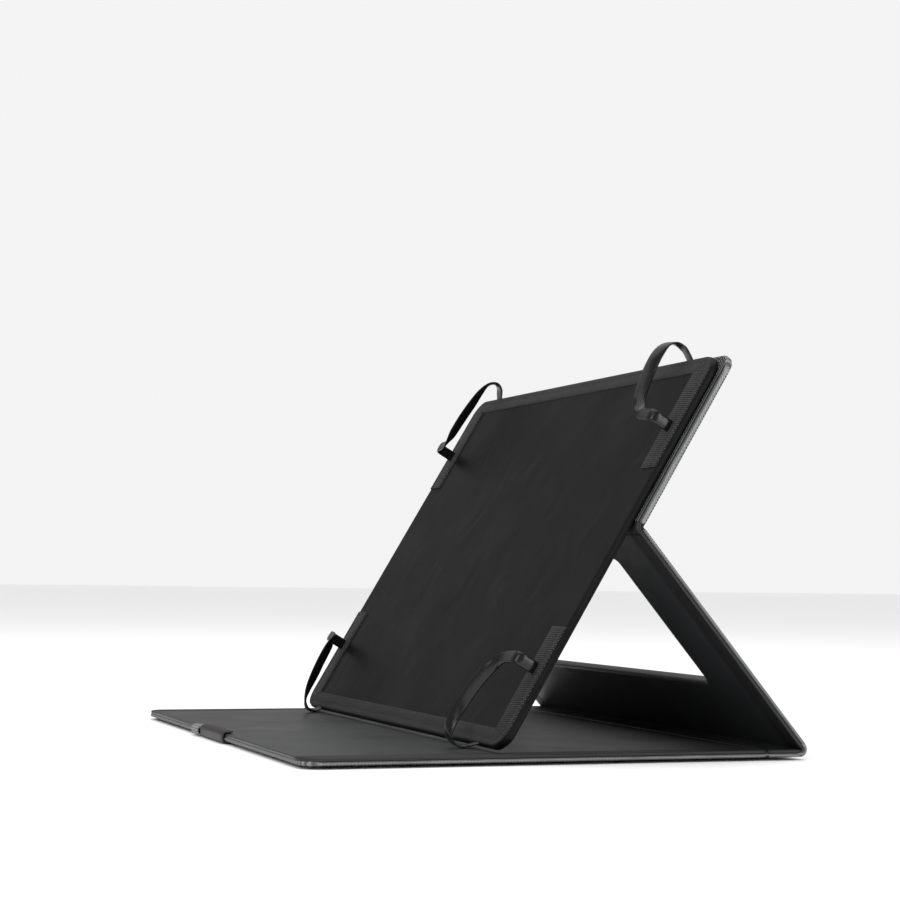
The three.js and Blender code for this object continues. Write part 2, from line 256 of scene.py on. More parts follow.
def make_grain_group():
    """Fine pebbled grain with a soft uneven tone, for leather and coated lining."""
    group = bpy.data.node_groups.new("pebble_grain", "ShaderNodeTree")
    add_group_socket(group, "Place", "NodeSocketVector")
    add_group_socket(group, "Grain Scale", "NodeSocketFloat", default=900)
    for name in ("Grain", "Tone", "Wrinkle"):
        add_group_socket(group, name, "NodeSocketFloat", output=True)
    into = group.nodes.new("NodeGroupInput")
    out = group.nodes.new("NodeGroupOutput")
    cells = group.nodes.new("ShaderNodeTexVoronoi")
    cells.feature = "SMOOTH_F1"
    node_link(group, into.outputs["Place"], cells.inputs["Vector"])
    node_link(group, into.outputs["Grain Scale"], cells.inputs["Scale"])
    fine = group.nodes.new("ShaderNodeTexNoise")
    fine.inputs["Scale"].default_value = 2400
    fine.inputs["Detail"].default_value = 3
    node_link(group, into.outputs["Place"], fine.inputs["Vector"])
    grain = math_node(group, "MULTIPLY_ADD", fine.outputs["Fac"], 0.4, cells.outputs["Distance"])
    tone = group.nodes.new("ShaderNodeTexNoise")
    tone.inputs["Scale"].default_value = 35
    tone.inputs["Detail"].default_value = 4
    node_link(group, into.outputs["Place"], tone.inputs["Vector"])
    fold = group.nodes.new("ShaderNodeTexNoise")
    fold.noise_type = "RIDGED_MULTIFRACTAL"
    fold.inputs["Scale"].default_value = 45
    fold.inputs["Detail"].default_value = 3
    fold.inputs["Distortion"].default_value = 0.8
    node_link(group, into.outputs["Place"], fold.inputs["Vector"])
    node_link(group, fold.outputs["Fac"], out.inputs["Wrinkle"])
    node_link(group, grain, out.inputs["Grain"])
    node_link(group, tone.outputs["Fac"], out.inputs["Tone"])
    return group


pebble_grain = make_grain_group()


def make_grained_material(name, dark, light, roughness, grain_scale, depth, specular=0.35, wrinkle=0.1 * mm):
    material, tree, shader = new_material(name, roughness, light, specular)
    grain = tree.nodes.new("ShaderNodeGroup")
    grain.node_tree = pebble_grain
    grain.inputs["Grain Scale"].default_value = grain_scale
    node_link(tree, place_node(tree), grain.inputs["Place"])
    color = mix_colors(tree, grain.outputs["Tone"], dark, light)
    node_link(tree, color, shader.inputs["Base Color"])
    rough = math_node(tree, "MULTIPLY_ADD", grain.outputs["Tone"], 0.25, roughness - 0.12)
    node_link(tree, rough, shader.inputs["Roughness"])
    fine = bump_node(tree, grain.outputs["Grain"], depth)
    node_link(tree, bump_node(tree, grain.outputs["Wrinkle"], wrinkle, 1.0, fine), shader.inputs["Normal"])
    return material


def paint_end_shade(material, start, soft, dark):
    """Paints shade into a piece's colour towards its two ends, where it slopes down onto the turned fabric,
    and roughens it there.
    """
    tree = material.node_tree
    shader = tree.nodes["Principled BSDF"]
    split = tree.nodes.new("ShaderNodeSeparateXYZ")
    node_link(tree, place_node(tree), split.inputs[0])
    out_by = math_node(tree, "SUBTRACT", math_node(tree, "ABSOLUTE", split.outputs["X"]), start)
    share = math_node(tree, "DIVIDE", out_by, soft)
    share.node.use_clamp = True
    was = shader.inputs["Base Color"].links[0].from_socket
    node_link(tree, mix_colors(tree, share, was, dark), shader.inputs["Base Color"])
    was = shader.inputs["Roughness"].links[0].from_socket
    node_link(tree, math_node(tree, "MULTIPLY_ADD", share, 0.2, was), shader.inputs["Roughness"])


cover_weave = make_woven_material(
    "cover_weave", (0.004, 0.004, 0.0045), (0.030, 0.031, 0.033), (0.36, 0.37, 0.38)
)
# Turned edges: the cover's own weave, painted lighter grey to stand for the sheen that the fabric's edges
# catch.
edge_weave_painted_sheen = make_woven_material(
    "turned_edge_painted_sheen", (0.07, 0.07, 0.07), (0.17, 0.17, 0.17), (0.36, 0.36, 0.36), pitch=RIB_PITCH, roughness=0.6
)
# Where the painted shade at the lining's two ends begins, measured from the middle.
PAINTED_SHADE_FROM = 119 * mm
cover_lining = make_grained_material(
    "cover_lining", (0.017, 0.018, 0.020), (0.030, 0.0315, 0.034), 0.4, 1100, 0.03 * mm, 0.6, 0.25 * mm
)
# Painted shade: the lining is darkened from 119 mm either side of the middle outwards, fully dark 3 mm
# further on.
paint_end_shade(cover_lining, PAINTED_SHADE_FROM, 3 * mm, (0.006, 0.006, 0.007))
seam_thread = make_grained_material(
    "seam_thread", (0.012, 0.012, 0.013), (0.03, 0.03, 0.032), 0.6, 3000, 0.03 * mm
)


def finish_mesh(name, verts, faces, places, materials, slots=None, smooth=True):
    """Makes the object; places holds one texture place per face corner, in metres."""
    mesh = bpy.data.meshes.new(name)
    mesh.from_pydata(verts, [], faces)
    layer = mesh.uv_layers.new(name="place")
    flat = [c for place in places for c in place]
    layer.data.foreach_set("uv", flat)
    for material in materials:
        mesh.materials.append(material)
    if slots:
        mesh.polygons.foreach_set("material_index", slots)
    mesh.polygons.foreach_set("use_smooth", [smooth] * len(mesh.polygons))
    mesh.update()
    piece = bpy.data.objects.new(name, mesh)
    bpy.context.collection.objects.link(piece)
    return piece


def loft(name, rings, ring_places, materials, slot_of=None):
    """Skins closed rings of points, all with the same count, and caps both ends.
    ring_places[i] = (u, [v ...]) gives each ring's texture place, with one v more than points."""
    count = len(rings[0])
    verts = [p for ring in rings for p in ring]
    faces, places, slots = [], [], []
    for i in range(len(rings) - 1):
        (u0, v0), (u1, v1) = ring_places[i], ring_places[i + 1]
        for j in range(count):
            k = (j + 1) % count
            faces.append((i * count + j, i * count + k, (i + 1) * count + k, (i + 1) * count + j))
            places += [(u0, v0[j]), (u0, v0[j + 1]), (u1, v1[j + 1]), (u1, v1[j])]
            slots.append(slot_of(i, j) if slot_of else 0)
    last = (len(rings) - 1) * count
    for base, order in ((0, range(count - 1, -1, -1)), (last, range(count))):
        faces.append(tuple(base + j for j in order))
        u, v = ring_places[0 if base == 0 else -1]
        places += [(u, v[j]) for j in order]
        slots.append(slot_of(0, -1) if slot_of else 0)
    return finish_mesh(name, verts, faces, places, materials, slots)


def stations(half, ribbed):
    """Positions along the spine direction: evenly spaced, closer over the rounded ends."""
    step = RIB_PITCH / RIB_STEPS if ribbed else 2.5 * mm
    inner = half - EDGE_ROUND
    count = int(inner / step)
    middle = [i * step for i in range(-count, count + 1)]
    ends = [inner + EDGE_ROUND * math.sin(math.pi / 2 * i / EDGE_STEPS) for i in range(EDGE_STEPS + 1)]
    return [-x for x in reversed(ends)] + middle + ends


def end_round(x, half, radius):
    """How far an edge is drawn in at x by a corner radius at the end of the piece."""
    into = abs(x) - (half - radius)
    if into <= 0 or radius <= 0:
        return 0.0
    return radius - math.sqrt(max(radius * radius - into * into, 0.0))


def slab(name, half, y0, y1, low, high, r0, r1, materials, ribbed_face=0, faces_across=10, crown=0.0,
         edge_slot=0, top_slot=0, round_by=EDGE_ROUND, creases=""):
    """A sheet-like piece with rounded edges, from y0 to y1 and low to high, with corner radii
    r0 and r1. ribbed_face -1 gives its low face the weave's ribs."""
    edge = min(round_by, (high - low) / 2)
    rings, ring_places = [], []
    for x in stations(half, ribbed_face != 0):
        thin = end_round(x, half, edge) * 0.85
        front = y0 + end_round(x, half, r0)
        back = y1 - end_round(x, half, r1)
        lo, hi = low + thin, high - thin
        rib = 0.0
        if ribbed_face:
            rib = RIB_DEPTH * (0.5 - 0.5 * math.cos(2 * math.pi * x / RIB_PITCH))
        ring = []
        e = max(min(edge, (hi - lo) / 2), 0.05 * mm)
        # along the low face from front to back, round the back edge, along the high face, round the front
        for i in range(faces_across + 1):
            t = i / faces_across
            ring.append((front + e + (back - front - 2 * e) * t, lo + rib))
        for i in range(1, EDGE_STEPS + 1):
            a = math.pi / 2 * i / EDGE_STEPS
            ring.append((back - e + (e - rib) * math.sin(a), lo + e - (e - rib) * math.cos(a)))
        for i in range(1, EDGE_STEPS + 1):
            a = math.pi / 2 * i / EDGE_STEPS
            ring.append((back - e + (e - rib * (1 - i / EDGE_STEPS)) * math.cos(a), hi - e + e * math.sin(a)))
        for i in range(1, faces_across + 1):
            t = i / faces_across
            bulge = crown * math.sin(math.pi * t) * math.cos(math.pi * x / 2 / half)
            ring.append((back - e - (back - front - 2 * e) * t, hi + bulge))
        for i in range(1, EDGE_STEPS + 1):
            a = math.pi / 2 * i / EDGE_STEPS
            ring.append((front + e - (e - rib * i / EDGE_STEPS) * math.sin(a), hi - e + e * math.cos(a)))
        for i in range(1, EDGE_STEPS):
            a = math.pi / 2 * i / EDGE_STEPS
            ring.append((front + e - (e - rib) * math.cos(a), lo + e - (e - rib) * math.sin(a)))
        rings.append([(x, y, z) for y, z in ring])
        lengths = [ring[0][0]]
        for a, b in zip(ring, ring[1:] + ring[:1]):
            lengths.append(lengths[-1] + math.dist(a, b))
        ring_places.append((x, lengths))
    across = faces_across

    def slot_of(i, j):
        if j < 0:
            return edge_slot
        if j < across:
            return 0
        if j < across + 2 * EDGE_STEPS:
            return 0 if "back" in creases else edge_slot
        if j < 2 * across + 2 * EDGE_STEPS:
            return top_slot
        return 0 if "front" in creases else edge_slot

    return loft(name, rings, ring_places, materials, slot_of)


def face_outwards(piece):
    """Turns every face of a closed piece to point out of it."""
    fix = bmesh.new()
    fix.from_mesh(piece.data)
    bmesh.ops.recalc_face_normals(fix, faces=fix.faces)
    fix.to_mesh(piece.data)
    fix.free()
    return piece


def stitch_run(name, lines, material, up, pitch=3.0 * mm, stitch=2.2 * mm, thick=0.28 * mm, sink=0.35):
    """Sewn stitches along each line of points; each rises from the cloth and dips back."""
    sides = 6
    verts, faces, places = [], [], []
    up = Vector(up)
    profile = (
        (-0.5, 0.35, -0.9), (-0.32, 0.85, -0.1), (0.0, 1.0, 0.12), (0.32, 0.85, -0.1), (0.5, 0.35, -0.9),
    )
    for line in lines:
        points = [Vector(p) for p in line]
        spans = [(b - a).length for a, b in zip(points, points[1:])]
        total = sum(spans)
        count = max(int(total / pitch), 1)
        for n in range(count):
            at = (n + 0.5) * total / count
            k = 0
            while k < len(spans) - 1 and at > spans[k]:
                at -= spans[k]
                k += 1
            along = (points[k + 1] - points[k]).normalized()
            middle = points[k] + along * at
            side = along.cross(up).normalized()
            base = len(verts)
            for t, size, lift in profile:
                centre = middle + along * (t * stitch) + up * (thick * (lift - sink))
                for s in range(sides):
                    a = 2 * math.pi * s / sides
                    verts.append(centre + (side * math.cos(a) + up * math.sin(a)) * (thick * size))
            for r in range(len(profile) - 1):
                for s in range(sides):
                    q = (s + 1) % sides
                    face = (
                        base + r * sides + s, base + r * sides + q,
                        base + (r + 1) * sides + q, base + (r + 1) * sides + s,
                    )
                    faces.append(face)
                    places += [(r * mm, s * mm), (r * mm, (s + 1) * mm), ((r + 1) * mm, (s + 1) * mm),
                               ((r + 1) * mm, s * mm)]
            far_end = base + (len(profile) - 1) * sides
            for start, order in ((base, range(sides)), (far_end, range(sides - 1, -1, -1))):
                faces.append(tuple(start + s for s in order))
                places += [(s * mm, 0) for s in order]
    piece = finish_mesh(name, verts, faces, places, [material])
    return face_outwards(piece)


def border_line(half, y0, y1, r0, r1, inset, level):
    """A closed line of points running round a rounded outline, inset from its edge."""
    points = []
    for cx, cy, r, start in (
        (half - r1, y1 - r1, r1, 0), (-half + r1, y1 - r1, r1, 90),
        (-half + r0, y0 + r0, r0, 180), (half - r0, y0 + r0, r0, 270),
    ):
        reach = max(r - inset, 0.4 * mm)
        shift = inset if r < inset else 0.0
        ox = cx - shift * math.copysign(1, cx)
        oy = cy - shift * (1 if start < 180 else -1)
        for i in range(7):
            a = math.radians(start + 15 * i)
            points.append((ox + reach * math.cos(a), oy + reach * math.sin(a), level))
    return points + points[:1]


lo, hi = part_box("front_cover_shell")
_, lining_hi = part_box("front_cover_lining")
half_length = hi.x
cover_front = lo.y
cover_back = hi.y
outside = lo.z
inside = lining_hi.z
opening_radius = 8 * mm
crease_radius = 0.6 * mm
stack = inside - outside
wrap_top = inside - LINING_THICK
front_wrap = slab(
    "front_cover_wrap", half_length, cover_front, cover_back, outside, wrap_top,
    opening_radius, crease_radius, [cover_weave, edge_weave_painted_sheen], ribbed_face=-1, edge_slot=1, creases="back",
)
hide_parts("front_cover_shell", "front_cover_board")
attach(front_wrap, "front_cover")
LINING_INSET = 0.2 * mm
BOND_LAP = 0.1 * mm
front_lining = slab(
    "front_cover_lining_sheet", half_length - LINING_INSET, cover_front + LINING_INSET, cover_back,
    wrap_top - BOND_LAP, inside, opening_radius - LINING_INSET, crease_radius,
    [cover_lining], faces_across=40, crown=-0.1 * mm, round_by=0.6 * mm,
)
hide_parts("front_cover_lining")
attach(front_lining, "front_cover")
stitch_inset = 3 * mm
topstitch = stitch_run(
    "front_cover_topstitch",
    [border_line(half_length, cover_front, cover_back, opening_radius, crease_radius, stitch_inset, outside)],
    seam_thread, (0, 0, -1), stitch=2.4 * mm, thick=0.36 * mm, sink=0.25,
)
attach(topstitch, "front_cover")

# Hand strap: a flat leather strap across the outside of the front cover, turned over its
# opening edge and glued down on the lining, and sewn along both long edges.
STRAP_HALF = 19 * mm
STRAP_THICK = 0.9 * mm
THREAD_RISE = 0.2 * mm
STRAP_TURN_IN = 4.7 * mm


def rounded_section(width, height, radius, steps=3):
    """Points of a rounded rectangle, centred, anticlockwise."""
    points = []
    for cx, cy, start in ((1, 1, 0), (-1, 1, 90), (-1, -1, 180), (1, -1, 270)):
        for i in range(steps + 1):
            a = math.radians(start + 90 * i / steps)
            points.append((
                cx * (width / 2 - radius) + radius * math.cos(a),
                cy * (height / 2 - radius) + radius * math.sin(a),
            ))
    return points


def sweep(name, centres, across, section, material, closed=False):
    """Sweeps a section along points. across gives the section's first axis at each point."""
    rings, ring_places = [], []
    count = len(centres)
    travelled = 0.0
    for i, centre in enumerate(centres):
        before = centres[(i - 1) % count if closed else max(i - 1, 0)]
        after = centres[(i + 1) % count if closed else min(i + 1, count - 1)]
        along = (after - before).normalized()
        wide = (across[i] - along * across[i].dot(along)).normalized()
        up = along.cross(wide)
        ring = [centre + wide * a + up * b for a, b in section]
        rings.append(ring)
        if i:
            travelled += (centre - centres[i - 1]).length
        v = [0.0]
        for a, b in zip(section, section[1:] + section[:1]):
            v.append(v[-1] + math.dist(a, b))
        ring_places.append((travelled, v))
    if not closed:
        return loft(name, rings, ring_places, [material])
    size = len(section)
    verts = [p for ring in rings for p in ring]
    faces, places = [], []
    for i in range(count):
        m = (i + 1) % count
        u0 = ring_places[i][0]
        u1 = ring_places[m][0] if m else travelled + (centres[0] - centres[-1]).length
        v = ring_places[i][1]
        for j in range(size):
            k = (j + 1) % size
            faces.append((i * size + j, i * size + k, m * size + k, m * size + j))
            places += [(u0, v[j]), (u0, v[j + 1]), (u1, v[j + 1]), (u1, v[j])]
    return finish_mesh(name, verts, faces, places, [material])


def taper_sweep(name, path, half, thick, material, start_round, end_round_by, across=Vector((1, 0, 0))):
    """A flat strap along a path, with rounded long edges and rounded corners at both ends."""
    lengths = [0.0]
    for a, b in zip(path, path[1:]):
        lengths.append(lengths[-1] + (b - a).length)
    total = lengths[-1]
    edge = thick * 0.42
    rings, ring_places = [], []
    for i, centre in enumerate(path):
        s = lengths[i]
        drawn_in = max(
            start_round - math.sqrt(max(start_round ** 2 - max(start_round - s, 0) ** 2, 0)),
            end_round_by - math.sqrt(max(end_round_by ** 2 - max(end_round_by - total + s, 0) ** 2, 0)),
        )
        near_end = min(s, total - s)
        thin = 1.0 if near_end > edge else 0.55 + 0.45 * math.sin(math.pi / 2 * near_end / edge)
        w = max(half - drawn_in, 1.2 * mm)
        h = thick / 2 * thin
        along = (path[min(i + 1, len(path) - 1)] - path[max(i - 1, 0)]).normalized()
        up = along.cross(across).normalized()
        ring = []
        v = []
        for k in range(9):
            t = 1 - k / 4
            ring.append(centre + across * ((w - edge) * t) + up * h)
            v.append((w - edge) * t)
        for k in range(1, 6):
            a = math.pi * k / 6
            ring.append(centre - across * (w - edge + edge * math.sin(a)) + up * (h * math.cos(a)))
            v.append(-(w - edge) - edge * a)
        for k in range(9):
            t = -1 + k / 4
            ring.append(centre + across * ((w - edge) * t) - up * h)
            v.append((w - edge) * t)
        for k in range(1, 6):
            a = math.pi * k / 6
            ring.append(centre + across * (w - edge + edge * math.sin(a)) - up * (h * math.cos(a)))
            v.append(w - edge + edge * a)
        v.append(v[0])
        rings.append(ring)
        ring_places.append((s, v))
    piece = loft(name, rings, ring_places, [material])
    return face_outwards(piece)


def rounded_turn(y_far, low, high, y_in, bend, steps):
    """Centre line that runs from y_far along low to y_far's opposite side, turns up and back to y_in."""
    points = []
    run = abs(y_far - (bend[0] + bend[1]))
    count = max(int(run / (2.5 * mm)), 2)
    for i in range(count):
        points.append(Vector((0, y_far + (bend[0] + bend[1] - y_far) * i / count, low)))
    r = bend[1]
    for i in range(steps + 1):
        a = math.pi / 2 * i / steps
        points.append(Vector((0, bend[0] + r - r * math.sin(a), low + r - r * math.cos(a))))
    for i in range(steps + 1):
        a = math.pi / 2 * i / steps
        points.append(Vector((0, bend[0] + r - r * math.cos(a), high - r + r * math.sin(a))))
    count = max(int(abs(y_in - bend[0] - r) / (1.5 * mm)), 2)
    for i in range(1, count + 1):
        points.append(Vector((0, bend[0] + r + (y_in - bend[0] - r) * i / count, high)))
    return points


strap_leather = make_grained_material(
    "strap_leather", (0.020, 0.017, 0.016), (0.040, 0.034, 0.033), 0.5, 1300, 0.05 * mm
)
strap_lo, strap_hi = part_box("hand_strap")
strap_face = strap_lo.z + THREAD_RISE
strap_low = strap_face + STRAP_THICK / 2
strap_high = strap_hi.z - STRAP_THICK / 2
strap_fold = strap_lo.y + STRAP_THICK / 2
strap_path = rounded_turn(
    strap_hi.y, strap_low, strap_high, strap_fold + STRAP_TURN_IN, (strap_fold, 1.3 * mm), 6
)
# Finer steps where the strap's corners are rounded off.
STRAP_CORNER = 4 * mm
fine = [strap_hi.y - STRAP_CORNER * (1 - math.cos(math.pi / 2 * i / 8)) for i in range(8)]
coarse = [p for p in strap_path if p.y < strap_hi.y - 4.2 * mm]
strap_path = [Vector((0, y, strap_low)) for y in fine] + coarse
hand_strap = taper_sweep(
    "hand_strap_leather", strap_path, STRAP_HALF, STRAP_THICK, strap_leather, STRAP_CORNER, 2 * mm
)
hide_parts("hand_strap")
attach(hand_strap, "front_cover")
strap_seam = STRAP_HALF - 2.3 * mm
seam_y0 = strap_hi.y - 3 * mm
seam_y1 = strap_fold + 3 * mm
strap_lines = [
    [(side * strap_seam, seam_y0, strap_face), (side * strap_seam, seam_y1, strap_face)] for side in (1, -1)
]
strap_stitches = stitch_run(
    "hand_strap_stitches", strap_lines, seam_thread, (0, 0, -1), pitch=2.9 * mm, stitch=2.2 * mm, sink=0.4
)
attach(strap_stitches, "front_cover")
turn_end = strap_fold + STRAP_TURN_IN
turn_line = [
    (strap_seam, strap_fold + 2.5 * mm, strap_hi.z), (strap_seam, turn_end - 2.2 * mm, strap_hi.z),
    (-strap_seam, turn_end - 2.2 * mm, strap_hi.z), (-strap_seam, strap_fold + 2.5 * mm, strap_hi.z),
]
turn_stitches = stitch_run(
    "strap_turn_stitches", [turn_line], seam_thread, (0, 0, 1), pitch=2.9 * mm, stitch=2.2 * mm, sink=0.75
)
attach(turn_stitches, "front_cover")

# Bar tack: a close zigzag of bright yellow-green thread across the hand strap's end. It sews
# the strap down over the ribbon.
TACK_PITCH = 0.95 * mm
TACK_OVERRUN = 0.15 * mm
tack_lo, tack_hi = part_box("strap_bar_tack")
tack_thread = make_grained_material(
    "tack_thread", (0.44, 0.48, 0.11), (0.62, 0.66, 0.22), 0.55, 3000, 0.03 * mm
)
tack_points = []
tack_turns = int((tack_hi.x - tack_lo.x) / TACK_PITCH * 2)
for i in range(tack_turns + 1):
    x = tack_lo.x + (tack_hi.x - tack_lo.x) * i / tack_turns
    y = tack_hi.y + TACK_OVERRUN if i % 2 else tack_lo.y - TACK_OVERRUN
    tack_points.append(Vector((x, y, 0.16 * mm)))
tack_path = []
for a, b in zip(tack_points, tack_points[1:]):
    for t, lift in ((0.06, 0.1), (0.3, -0.02), (0.7, -0.02), (0.94, 0.1)):
        tack_path.append(a.lerp(b, t) + Vector((0, 0, lift * mm)))
tack = sweep(
    "bar_tack_zigzag", tack_path, [Vector((0, 0, 1))] * len(tack_path),
    rounded_section(0.4 * mm, 0.4 * mm, 0.19 * mm, steps=1), tack_thread,
)
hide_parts("strap_bar_tack")
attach(tack, "front_cover")

# Ribbon tab: a short loop of grey woven ribbon beside the strap. It is folded over the
# opening edge of the front cover and fixed to both its faces.
TAB_HALF = 6 * mm
ribbon_web = make_woven_material(
    "ribbon_web", (0.10, 0.10, 0.10), (0.24, 0.24, 0.24), (0.34, 0.34, 0.34), pitch=1.0 * mm, roughness=0.65
)
tab_lo, tab_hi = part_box("ribbon_tab")
tab_thick = 0.5 * mm
tab_path = rounded_turn(
    tab_hi.y, tab_lo.z + tab_thick / 2, tab_hi.z - tab_thick / 2, tab_hi.y,
    (tab_lo.y + tab_thick / 2 - 1.5 * mm, 1.75 * mm), 8,
)
tab_loop = taper_sweep("ribbon_tab_loop", tab_path, TAB_HALF, tab_thick, ribbon_web, 0.5 * mm, 0.5 * mm)
tab_loop.matrix_world = Matrix.Translation(((tab_lo.x + tab_hi.x) / 2, 0, 0))
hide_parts("ribbon_tab")
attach(tab_loop, "front_cover")

# Spine strip: a narrow board as wide as the closed case is thick. It is wrapped in the same
# ribbed fabric as the front cover and lined inside.
lo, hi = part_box("spine_shell")
spine_front, spine_back = lo.y, hi.y
spine_wrap = slab(
    "spine_wrap", half_length, spine_front, spine_back, outside, wrap_top,
    crease_radius, crease_radius, [cover_weave, edge_weave_painted_sheen], ribbed_face=-1, edge_slot=1, faces_across=4,
    creases="front back",
)
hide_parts("spine_shell", "spine_board")
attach(spine_wrap, "spine")
spine_lining = slab(
    "spine_lining_sheet", half_length - LINING_INSET, spine_front, spine_back,
    wrap_top - BOND_LAP, inside, crease_radius, crease_radius,
    [cover_lining], faces_across=6, round_by=0.6 * mm,
)
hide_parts("spine_lining")
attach(spine_lining, "spine")

# Elastic ribbon: it comes out from under the strap's end and runs over the crease onto the
# spine, so that the strap gives when a hand slides under it.
ribbon_lo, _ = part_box("ribbon_on_cover")
spine_ribbon_lo, spine_ribbon_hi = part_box("ribbon_on_spine")
ribbon_level = (spine_ribbon_lo.z + spine_ribbon_hi.z) / 2
joints = {j["name"]: j for j in frame["joints"]}
hinge_y = joints["cover_hinge"]["pos_m"][1]
ribbon_ys = [ribbon_lo.y + 2 * mm * i for i in range(8)]
ribbon_ys += [hinge_y - 1.6 * mm + 0.16 * mm * i for i in range(21)]
ribbon_ys += [hinge_y + 3 * mm + (spine_ribbon_hi.y - hinge_y - 3 * mm) * i / 6 for i in range(7)]
ribbon_path = [Vector((0, y, ribbon_level)) for y in ribbon_ys]
ribbon = taper_sweep(
    "elastic_ribbon", ribbon_path, (spine_ribbon_hi.x - spine_ribbon_lo.x) / 2, 0.5 * mm,
    ribbon_web, 0.3 * mm, 0.3 * mm,
)
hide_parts("ribbon_on_cover", "ribbon_on_spine")
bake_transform(ribbon)

# Cover crease: the covering fabric and the lining run on over the gap between the two boards
# and are pressed together there into a soft groove. This is the cover's hinge.


def smooth_points(points, steps):
    """Points along a smooth curve through the given ones."""
    out = []
    for i in range(len(points) - 1):
        p0, p1 = points[max(i - 1, 0)], points[i]
        p2, p3 = points[i + 1], points[min(i + 2, len(points) - 1)]
        for k in range(steps):
            t = k / steps
            out.append(
                0.5 * (2 * p1 + (p2 - p0) * t + (2 * p0 - 5 * p1 + 4 * p2 - p3) * t * t
                       + (3 * p1 - p0 - 3 * p2 + p3) * t * t * t)
            )
    return out + [points[-1]]


def fold_strip(name, path, thick, half, materials, ribbed):
    """A strip of fabric along a fold. path holds its middle line as (y, z) across the fold, with the
    weave's outside to the right of the path's direction."""
    rings, ring_places = [], []
    for x in stations(half, ribbed):
        share = 1.0 if abs(x) < half - EDGE_ROUND else max(1 - (abs(x) - half + EDGE_ROUND) / EDGE_ROUND, 0.3)
        rib = RIB_DEPTH * (0.5 - 0.5 * math.cos(2 * math.pi * x / RIB_PITCH)) if ribbed else 0.0
        outer, inner = [], []
        for i, p in enumerate(path):
            along = (path[min(i + 1, len(path) - 1)] - path[max(i - 1, 0)]).normalized()
            right = Vector((along.y, -along.x))
            a = p + right * (thick / 2 * share - rib)
            b = p - right * (thick / 2 * share)
            outer.append((a.x, a.y))
            inner.append((b.x, b.y))
        ring = outer + inner[::-1]
        rings.append([(x, y, z) for y, z in ring])
        lengths = [0.0]
        for a, b in zip(ring, ring[1:] + ring[:1]):
            lengths.append(lengths[-1] + math.dist(a, b))
        ring_places.append((x, lengths))
    xs = stations(half, ribbed)
    ends = half - EDGE_ROUND * 1.01
    piece = loft(
        name, rings, ring_places, materials,
        lambda i, j: 0 if len(materials) == 1 or (j >= 0 and abs(xs[i]) < ends) else 1,
    )
    return face_outwards(piece)


def flat_groove(level, dip):
    """Middle line across the cover's crease, sagging towards the boards' middle."""
    points = []
    for i in range(33):
        t = i / 32 * 2 - 1
        points.append(Vector((hinge_y + 2.0 * mm * t, level + dip * math.exp(-(t * 1.6) ** 4))))
    return points


crease_cloth = fold_strip(
    "cover_crease_cloth", flat_groove(outside + 0.72 * mm, 0.45 * mm), 1.3 * mm, half_length - 0.1 * mm,
    [cover_weave, edge_weave_painted_sheen], True,
)
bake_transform(crease_cloth)
crease_lining = fold_strip(
    "cover_crease_lining", flat_groove(inside - 0.5 * mm, -0.45 * mm), 0.9 * mm, half_length - LINING_INSET,
    [cover_lining], False,
)
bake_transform(crease_lining)

# Strut: the lower part of the back cover, a wrapped and lined board with a large window. It
# leans forward in use, and is built flat from the back crease and then turned to its lean.
back_crease = Vector(joints["back_crease"]["pos_m"])
easel_crease = Vector(joints["easel_fold"]["pos_m"])
reach = easel_crease - back_crease
strut_length = math.sqrt(reach.length_squared - stack * stack)
strut_turn = math.atan2(reach.z, reach.y) + math.atan(stack / strut_length)
strut_frame = Matrix.Translation(back_crease) @ Matrix.Rotation(strut_turn, 4, "X")
crease_gap = 0.25 * mm
window_half = half_length - 39 * mm
window_low = 31.5 * mm
window_high = strut_length - 13 * mm
window_radius = 3 * mm


def cut_window(piece, grow):
    """Cuts the strut's window through a piece that lies flat in the strut's frame."""
    line = border_line(window_half, window_low, window_high, window_radius, window_radius, -grow, 0)[:-1]
    count = len(line)
    verts = [(x, y, z) for z in (-12 * mm, 12 * mm) for x, y, _ in line]
    faces = [tuple(range(count - 1, -1, -1)), tuple(range(count, 2 * count))]
    faces += [(j, (j + 1) % count, count + (j + 1) % count, count + j) for j in range(count)]
    mesh = bpy.data.meshes.new("window_cutter")
    mesh.from_pydata(verts, [], faces)
    cutter = bpy.data.objects.new("window_cutter", mesh)
    bpy.context.collection.objects.link(cutter)
    cut = piece.modifiers.new("window", "BOOLEAN")
    cut.object = cutter
    cut.operation = "DIFFERENCE"
    cut.solver = "EXACT"
    bpy.context.view_layer.update()
    whole = piece.evaluated_get(bpy.context.evaluated_depsgraph_get())
    done = bpy.data.meshes.new_from_object(whole)
    piece.modifiers.clear()
    piece.data = done
    bpy.data.objects.remove(cutter)


strut_wrap = slab(
    "strut_wrap", half_length, crease_gap, strut_length - crease_gap, -stack, -LINING_THICK,
    crease_radius, crease_radius, [cover_weave, edge_weave_painted_sheen], ribbed_face=-1, edge_slot=1, creases="front back",
)
cut_window(strut_wrap, 0.0)
strut_wrap.matrix_world = strut_frame
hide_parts("strut_shell", "strut_board")
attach(strut_wrap, "strut")
strut_lining = slab(
    "strut_lining_sheet", half_length - LINING_INSET, crease_gap, strut_length - crease_gap,
    -LINING_THICK - BOND_LAP, 0, crease_radius, crease_radius,
    [cover_lining], faces_across=30, round_by=0.6 * mm,
)
cut_window(strut_lining, 0.0)
strut_lining.matrix_world = strut_frame
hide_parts("strut_lining")
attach(strut_lining, "strut")


# Heel fold: the covering wraps round the foot of the strut, from under the spine, and the
# lining folds sharply inside it. This is the back crease.
def turned(centre, radius, degrees):
    """A point at that angle round centre in the side view, as (y, z)."""
    a = math.radians(degrees)
    return Vector((centre.y + radius * math.cos(a), centre.z + radius * math.sin(a)))


def side_view(v):
    return Vector((v.y, v.z))


